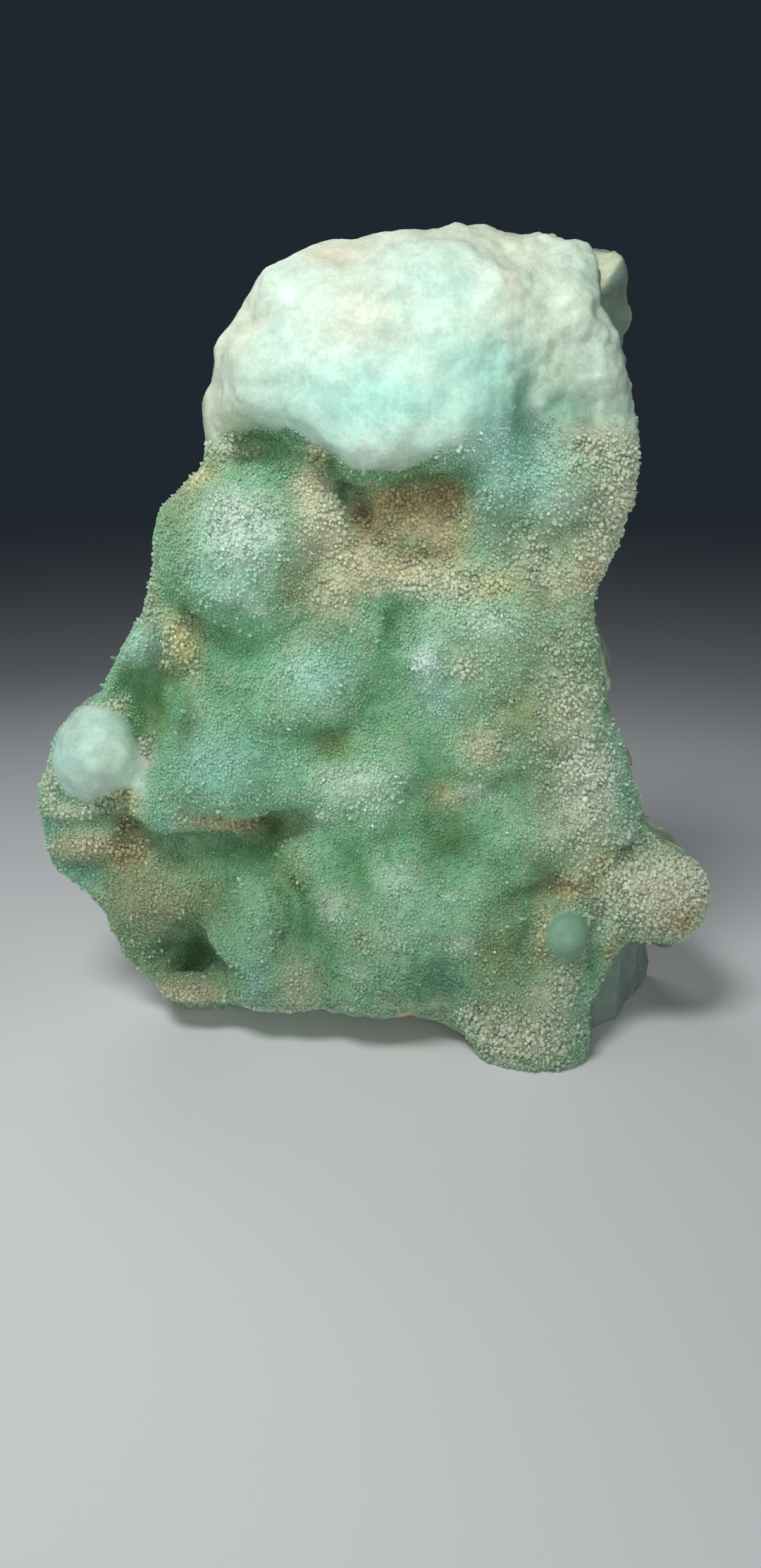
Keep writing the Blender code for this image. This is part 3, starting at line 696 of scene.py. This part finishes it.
def stone_material():
    """Waxy aragonite, sugary between the crystals, and banded where it is broken."""
    material = bpy.data.materials.new("aragonite_stone")
    material.use_nodes = True
    tree = material.node_tree
    link = tree.links.new
    shader = tree.nodes["Principled BSDF"]
    place = shader_node(tree, "TexCoord").outputs["Object"]
    tint_in = shader_node(tree, "Attribute", attribute_name="tint").outputs["Color"]
    banded_in = shader_node(tree, "Attribute", attribute_name="banded").outputs["Fac"]
    wax_in = shader_node(tree, "Attribute", attribute_name="wax").outputs["Fac"]

    # Growth bands, which the break behind the crust shows.
    bands = shader_node(tree, "TexWave", bands_direction="Y", wave_profile="SAW", Scale=38.0)
    bands.inputs["Distortion"].default_value = 5.0
    bands.inputs["Detail"].default_value = 4.0
    bands.inputs["Detail Scale"].default_value = 0.7
    link(place, bands.inputs["Vector"])
    band_shades = ramp_of(
        tree,
        (0.0, tuple(shade("grey"))),
        (0.3, tuple(shade("celadon") * 0.8)),
        (0.45, tuple(shade("cream") * 0.8)),
        (0.62, tuple(shade("grey") * 1.1)),
        (0.8, tuple(shade("jade") * 0.8)),
        (1.0, tuple(shade("sand") * 0.7)),
    )
    link(bands.outputs["Fac"], band_shades.inputs["Fac"])
    rust = shader_node(tree, "TexNoise", Scale=60.0, Detail=5.0, Roughness=0.65)
    link(place, rust.inputs["Vector"])
    rust_amount = ramp_of(tree, (0.5, 0.0), (0.68, 0.75))
    link(rust.outputs["Fac"], rust_amount.inputs["Fac"])
    rusted = shader_node(tree, "MixRGB")
    rusted.inputs["Color2"].default_value = (*shade("brown"), 1.0)
    link(rust_amount.outputs["Color"], rusted.inputs["Fac"])
    link(band_shades.outputs["Color"], rusted.inputs["Color1"])
    broken = shader_node(tree, "MixRGB")
    link(banded_in, broken.inputs["Fac"])
    link(tint_in, broken.inputs["Color1"])
    link(rusted.outputs["Color"], broken.inputs["Color2"])

    # Clouding over a few millimetres and fine sugary speckle.
    cloud = shader_node(tree, "TexNoise", Scale=260.0, Detail=4.0, Roughness=0.6)
    link(place, cloud.inputs["Vector"])
    cloud_value = ramp_of(tree, (0.3, 0.86), (0.7, 1.12))
    link(cloud.outputs["Fac"], cloud_value.inputs["Fac"])
    clouded = shader_node(tree, "MixRGB", blend_type="MULTIPLY", Fac=1.0)
    link(broken.outputs["Color"], clouded.inputs["Color1"])
    link(cloud_value.outputs["Color"], clouded.inputs["Color2"])
    speckle = shader_node(tree, "TexNoise", Scale=1300.0, Detail=2.0)
    link(place, speckle.inputs["Vector"])
    speckle_value = ramp_of(tree, (0.35, 0.95), (0.65, 1.06))
    link(speckle.outputs["Fac"], speckle_value.inputs["Fac"])
    speckled = shader_node(tree, "MixRGB", blend_type="MULTIPLY", Fac=1.0)
    link(clouded.outputs["Color"], speckled.inputs["Color1"])
    link(speckle_value.outputs["Color"], speckled.inputs["Color2"])
    link(speckled.outputs["Color"], shader.inputs["Base Color"])

    # The waxy mass is smoother than the rest.
    grain = shader_node(tree, "TexNoise", Scale=1500.0, Detail=3.0, Roughness=0.6)
    link(place, grain.inputs["Vector"])
    coarse_grain = shader_node(tree, "TexNoise", Scale=420.0, Detail=4.0, Roughness=0.6)
    link(place, coarse_grain.inputs["Vector"])
    roughness = shader_node(tree, "MapRange")
    roughness.inputs["To Min"].default_value = 0.62
    roughness.inputs["To Max"].default_value = 0.42
    link(wax_in, roughness.inputs["Value"])
    link(roughness.outputs["Result"], shader.inputs["Roughness"])
    fine_bump = shader_node(tree, "Bump", Strength=0.6, Distance=0.00015)
    link(grain.outputs["Fac"], fine_bump.inputs["Height"])
    bump = shader_node(tree, "Bump", Strength=0.6, Distance=0.0004)
    link(coarse_grain.outputs["Fac"], bump.inputs["Height"])
    link(fine_bump.outputs["Normal"], bump.inputs["Normal"])
    link(bump.outputs["Normal"], shader.inputs["Normal"])

    shader.inputs["IOR"].default_value = 1.55
    shader.inputs["Specular IOR Level"].default_value = 0.3
    shader.inputs["Subsurface Weight"].default_value = 0.5
    shader.inputs["Subsurface Radius"].default_value = (0.6, 1.0, 0.8)
    shader.inputs["Subsurface Scale"].default_value = 3.5 * MM
    return material


stone.data.materials.clear()
stone.data.materials.append(stone_material())
stone.data.shade_smooth()
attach(stone, "root")
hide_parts("aragonite")


# The druse: stubby, glassy aragonite crystals that grew outwards from the whole crust, side by side
# like sugar, each green at the root and a little whiter at the tip, in part frost and in part
# painted highlight.
MOST_IN_PIECE = 13000
TRIES_FOR_EACH = 2.6
# A crystal's root inside the stone and how much narrower it is at its shoulders, as shares of its
# length and width, and how flat it may be.
CRYSTAL_SINK = 0.35
CRYSTAL_TAPER = 0.85
CRYSTAL_FLATNESS = (0.6, 1.0)
SHOULDER_VARIES = 0.12
TIP_VARIES = 0.35
# How unlike each other the crystals are, and the clumps in which they are larger.
CRYSTAL_SPREAD = 0.14
WIDTH_VARIES = (0.8, 1.25)
SHADE_VARIES = (0.95, 1.05)
CLUMP_SIZE = 1.8
CLUMP_GAIN = 0.35
SIZE_WAVE = 5.0


def scattered(weight, spacing, seed):
    """Places spread over the stone by weight and at least about this far apart, as rows of the
    triangle and the shares of its corners."""
    rng = np.random.default_rng(seed)
    corners = points[stone_triangles]
    across = np.cross(corners[:, 1] - corners[:, 0], corners[:, 2] - corners[:, 0])
    chance = np.linalg.norm(across, axis=1) / 2.0 * weight[stone_triangles].mean(axis=1)
    tries = int(TRIES_FOR_EACH * chance.sum() / spacing**2)
    chosen = rng.choice(len(chance), tries, p=chance / chance.sum())
    shares = rng.dirichlet((1.0, 1.0, 1.0), tries)
    places = (corners[chosen] * shares[:, :, None]).sum(axis=1)
    cells = np.floor(places / spacing).astype(np.int64)
    _, first = np.unique(cells, axis=0, return_index=True)
    first = first[np.argsort(places[first, 0], kind="stable")]
    return chosen[first], shares[first]


def at_places(values, where):
    """A value of the stone's vertices, read at scattered places."""
    chosen, shares = where
    picked = values[stone_triangles[chosen]]
    return np.einsum("ij,ij...->i...", shares, picked)


def unit(rows):
    return rows / np.linalg.norm(rows, axis=1)[:, None]


def crystal_mesh(name, roots, axes, lengths, widths, root_tint, tip_tint, sides, blunt, seed):
    """One mesh of prisms with a point, each closed, with its root a little inside the stone."""
    rng = np.random.default_rng(seed)
    count = len(roots)
    side = unit(np.cross(axes, rng.normal(size=(count, 3))))
    other = np.cross(axes, side)
    flat = rng.uniform(*CRYSTAL_FLATNESS, count)
    turn = 2.0 * math.pi * np.arange(sides) / sides
    ring = np.cos(turn)[None, :, None] * side[:, None, :]
    ring = ring + (np.sin(turn)[None, :, None] * flat[:, None, None]) * other[:, None, :]
    ring = ring * widths[:, None, None]
    along = (lengths[:, None] * axes)[:, None, :]
    shoulder = rng.uniform(blunt - SHOULDER_VARIES, blunt + SHOULDER_VARIES, (count, sides, 1))
    lower = roots[:, None, :] + ring - CRYSTAL_SINK * along
    upper = roots[:, None, :] + CRYSTAL_TAPER * ring + shoulder * along
    lean = rng.uniform(-TIP_VARIES, TIP_VARIES, (count, 2)) * widths[:, None]
    tips = roots[:, None, :] + along + (lean[:, :1] * side + lean[:, 1:] * other)[:, None, :]
    corners = np.concatenate([lower, upper, tips], axis=1)

    faces = []
    for k in range(sides):
        after = (k + 1) % sides
        faces.append((k, after, sides + after))
        faces.append((k, sides + after, sides + k))
        faces.append((sides + k, sides + after, 2 * sides))
    for k in range(1, sides - 1):
        faces.append((0, k + 1, k))
    per_crystal = 2 * sides + 1
    all_faces = np.array(faces)[None] + per_crystal * np.arange(count)[:, None, None]
    all_faces = all_faces.reshape(-1, 3).astype(np.int32)

    mesh = bpy.data.meshes.new(name)
    mesh.vertices.add(count * per_crystal)
    mesh.vertices.foreach_set("co", (corners * MM).reshape(-1))
    mesh.loops.add(all_faces.size)
    mesh.loops.foreach_set("vertex_index", all_faces.reshape(-1))
    mesh.polygons.add(len(all_faces))
    mesh.polygons.foreach_set("loop_start", np.arange(0, all_faces.size, 3, dtype=np.int32))
    mesh.update(calc_edges=True)
    mesh.shade_flat()
    climb = np.array([0.0] * sides + [0.75] * sides + [1.0])
    colours = root_tint[:, None, :] + (tip_tint - root_tint)[:, None, :] * climb[None, :, None]
    add_colours(mesh, np.clip(colours.reshape(-1, 3), 0.0, 1.0))
    thing = bpy.data.objects.new(name, mesh)
    bpy.context.scene.collection.objects.link(thing)
    return thing


def crystal_material(name, roughness, translucence):
    """Aragonite crystals: each takes its colour from the stone that it grew on."""
    material = bpy.data.materials.new(name)
    material.use_nodes = True
    tree = material.node_tree
    link = tree.links.new
    shader = tree.nodes["Principled BSDF"]
    place = shader_node(tree, "TexCoord").outputs["Object"]
    tint_in = shader_node(tree, "Attribute", attribute_name="tint").outputs["Color"]
    cloud = shader_node(tree, "TexNoise", Scale=700.0, Detail=2.0)
    link(place, cloud.inputs["Vector"])
    cloud_value = ramp_of(tree, (0.3, 0.84), (0.7, 1.16))
    link(cloud.outputs["Fac"], cloud_value.inputs["Fac"])
    clouded = shader_node(tree, "MixRGB", blend_type="MULTIPLY", Fac=1.0)
    link(tint_in, clouded.inputs["Color1"])
    link(cloud_value.outputs["Color"], clouded.inputs["Color2"])
    link(clouded.outputs["Color"], shader.inputs["Base Color"])
    polish = shader_node(tree, "MapRange")
    polish.inputs["To Min"].default_value = roughness - 0.08
    polish.inputs["To Max"].default_value = roughness + 0.12
    link(cloud.outputs["Fac"], polish.inputs["Value"])
    link(polish.outputs["Result"], shader.inputs["Roughness"])
    grain = shader_node(tree, "TexNoise", Scale=5000.0, Detail=2.0)
    link(place, grain.inputs["Vector"])
    bump = shader_node(tree, "Bump", Strength=0.25, Distance=0.00003)
    link(grain.outputs["Fac"], bump.inputs["Height"])
    link(bump.outputs["Normal"], shader.inputs["Normal"])
    shader.inputs["IOR"].default_value = 1.58
    shader.inputs["Specular IOR Level"].default_value = 0.35
    shader.inputs["Subsurface Weight"].default_value = translucence
    shader.inputs["Subsurface Radius"].default_value = (0.6, 1.0, 0.8)
    shader.inputs["Subsurface Scale"].default_value = 1.2 * MM
    return material


stone.data.calc_loop_triangles()
stone_triangles = np.empty(len(stone.data.loop_triangles) * 3, np.int32)
stone.data.loop_triangles.foreach_get("vertices", stone_triangles)
stone_triangles = stone_triangles.reshape(-1, 3)
size_waves = waves(points, SIZE_WAVE)


def grow(
    name,
    weight,
    size,
    tip_frost_and_highlight,
    root_painted_shade,
    spacing,
    length,
    width,
    tilt,
    sides,
    blunt,
    material,
    seed,
):
    """Crystals on the stone by weight, in pieces of at most MOST_IN_PIECE from left to right. Size
    and tip whitening are values of the stone's points; the whiter tips are in part frost and in part
    painted highlight. The roots are darker by the given share, painted shade between the crystals."""
    where = scattered(weight, spacing, seed)
    rng = np.random.default_rng(seed + 1)
    roots = at_places(points, where)
    count = len(roots)
    leans = unit(rng.normal(size=(count, 3))) * (tilt * rng.uniform(0.2, 1.0, count))[:, None]
    axes = unit(unit(at_places(outward, where)) + leans)
    spread = np.exp(rng.normal(0.0, CRYSTAL_SPREAD, count)) * at_places(size, where)
    spread *= 1.0 + CLUMP_GAIN * lumps(roots, CLUMP_SIZE)
    lengths = length * spread
    widths = width * spread**0.7 * rng.uniform(*WIDTH_VARIES, count)
    root_tint = at_places(tint, where) * rng.uniform(*SHADE_VARIES, count)[:, None]
    patches = 0.25 + 0.75 * smooth_step(waves(roots, CLUMP_SIZE), -0.2, 0.6)
    white = (at_places(tip_frost_and_highlight, where) * patches * rng.uniform(0.5, 1.0, count))[:, None]
    tip_tint = root_tint + (shade("frost") - root_tint) * white
    # Painted shade at the roots, between the crystals.
    root_tint = root_tint * (1.0 - root_painted_shade)
    pieces = math.ceil(count / MOST_IN_PIECE)
    for number in range(pieces):
        part = slice(number * count // pieces, (number + 1) * count // pieces)
        forms = (roots[part], axes[part], lengths[part], widths[part])
        tints = (root_tint[part], tip_tint[part])
        piece_name = f"{name}_{number + 1}"
        piece = crystal_mesh(piece_name, *forms, *tints, sides, blunt, seed + 2 + number)
        piece.data.materials.append(material)
        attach(piece, "root")


crystal_size = (1.0 + 0.2 * size_waves) * (1.0 - 0.35 * dim) * (0.55 + 0.45 * druse)
# The tips are whiter on the heights and in the frost patches: in part frost, in part painted
# highlight.
tip_frost_and_highlight = 0.06 + 0.12 * smooth_step(height, 0.4, 1.0) + 0.25 * frost_and_highlight_patches
grow(
    "green_druse",
    weight=druse * (1.0 - 0.8 * smooth_step(coarse, 0.1, 0.5)),
    size=crystal_size,
    tip_frost_and_highlight=tip_frost_and_highlight,
    root_painted_shade=0.0,
    spacing=0.7,
    length=0.38,
    width=0.4,
    tilt=0.28,
    sides=4,
    blunt=0.82,
    material=crystal_material("green_crystal", 0.38, 0.6),
    seed=11,
)


# The clear points: longer crystals that stand out of the druse here and there and in clusters on
# the bosses, and catch the light.
CLUSTER_SIZE = 4.0
clusters = smooth_step(waves(points, CLUSTER_SIZE), 0.05, 0.4)
rims = smooth_step(frost_and_highlight_patches, 0.08, 0.3) * (1.0 - 0.6 * smooth_step(frost_and_highlight_patches, 0.5, 0.9))
raised = (1.0 - 0.95 * dim) * smooth_step(height, 0.2, 0.6)
grow(
    "clear_points",
    weight=druse * raised * (0.01 + (0.15 + 1.4 * rims) * clusters),
    size=1.0 + 0.2 * size_waves,
    # Whiter tips, in part painted highlight.
    tip_frost_and_highlight=np.full(len(points), 0.65),
    root_painted_shade=0.0,
    spacing=1.25,
    length=1.05,
    width=0.4,
    tilt=0.85,
    sides=4,
    blunt=0.7,
    material=crystal_material("clear_crystal", 0.18, 0.5),
    seed=71,
)


# The blunt grains: opaque cream, gold and brown aragonite, coarser than the green crystals, on
# the knob and the foot at the right, down the right edge, in the pocket and on the slopes.
grow(
    "cream_grains",
    weight=smooth_step(coarse, 0.1, 0.5),
    size=0.8 + 0.4 * coarse + 0.25 * size_waves,
    # Whiter tips, in part painted highlight.
    tip_frost_and_highlight=np.full(len(points), 0.45),
    # Painted shade between the coarse grains.
    root_painted_shade=0.36,
    spacing=0.9,
    length=0.9,
    width=0.52,
    tilt=0.75,
    sides=5,
    blunt=0.66,
    material=crystal_material("cream_grain", 0.4, 0.25),
    seed=41,
)


# The floor: a plain pale table top, which is not part of the specimen. It lies just under the
# base, and is large enough to lie behind the specimen in every view.
FLOOR_HALF = 2.0
FLOOR_BELOW = 0.1 * MM
FLOOR_COLOUR = (0.76, 0.78, 0.79, 1.0)
FLOOR_ROUGHNESS = 0.7
floor_mesh = bpy.data.meshes.new("floor")
floor_corners = [(-FLOOR_HALF, -FLOOR_HALF), (FLOOR_HALF, -FLOOR_HALF)]
floor_corners += [(FLOOR_HALF, FLOOR_HALF), (-FLOOR_HALF, FLOOR_HALF)]
floor_mesh.from_pydata([(cx, cy, -FLOOR_BELOW) for cx, cy in floor_corners], [], [(0, 1, 2, 3)])
floor = bpy.data.objects.new("floor", floor_mesh)
bpy.context.scene.collection.objects.link(floor)
floor_material = bpy.data.materials.new("pale_floor")
floor_material.use_nodes = True
floor_shader = floor_material.node_tree.nodes["Principled BSDF"]
floor_shader.inputs["Base Color"].default_value = FLOOR_COLOUR
floor_shader.inputs["Roughness"].default_value = FLOOR_ROUGHNESS
floor_mesh.materials.append(floor_material)


# The light: a soft box above the front, to the left, a second one low in front that reaches into
# the hollows, weak ones to either side and behind, and a dark room.
ROOM_COLOUR = (0.0145, 0.021, 0.028, 1.0)


def soft_box(name, place, aim, size, power, spread):
    """A square lamp of this size in metres, power in watts and spread in degrees."""
    box = bpy.data.lights.new(name, "AREA")
    box.shape = "SQUARE"
    box.size = size
    box.energy = power
    box.spread = math.radians(spread)
    lamp = bpy.data.objects.new(name, box)
    lamp.location = place
    lamp.rotation_euler = (Vector(aim) - Vector(place)).to_track_quat("-Z", "Y").to_euler()
    bpy.context.scene.collection.objects.link(lamp)


soft_box(
    "key",
    place=(-0.12, -0.27, 0.43),
    aim=(-0.02, -0.05, 0.1),
    size=0.14,
    power=0.56,
    spread=120.0,
)
soft_box(
    "front_fill",
    place=(0.03, -0.5, 0.2),
    aim=(0.005, 0.0, 0.115),
    size=0.4,
    power=0.25,
    spread=60.0,
)
soft_box(
    "left_fill",
    place=(-0.42, -0.2, 0.25),
    aim=(-0.02, 0.0, 0.12),
    size=0.3,
    power=0.04,
    spread=60.0,
)
soft_box(
    "right_fill",
    place=(0.42, -0.15, 0.15),
    aim=(0.02, 0.0, 0.1),
    size=0.3,
    power=0.025,
    spread=60.0,
)
soft_box(
    "back",
    place=(-0.2, 0.4, 0.4),
    aim=(0.0, 0.0, 0.07),
    size=0.4,
    power=0.12,
    spread=60.0,
)
room = bpy.data.worlds.new("room")
bpy.context.scene.world = room
room.use_nodes = True
room.node_tree.nodes["Background"].inputs["Color"].default_value = ROOM_COLOUR
room.node_tree.nodes["Background"].inputs["Strength"].default_value = 1.0
bpy.context.scene.view_settings.view_transform = "Standard"
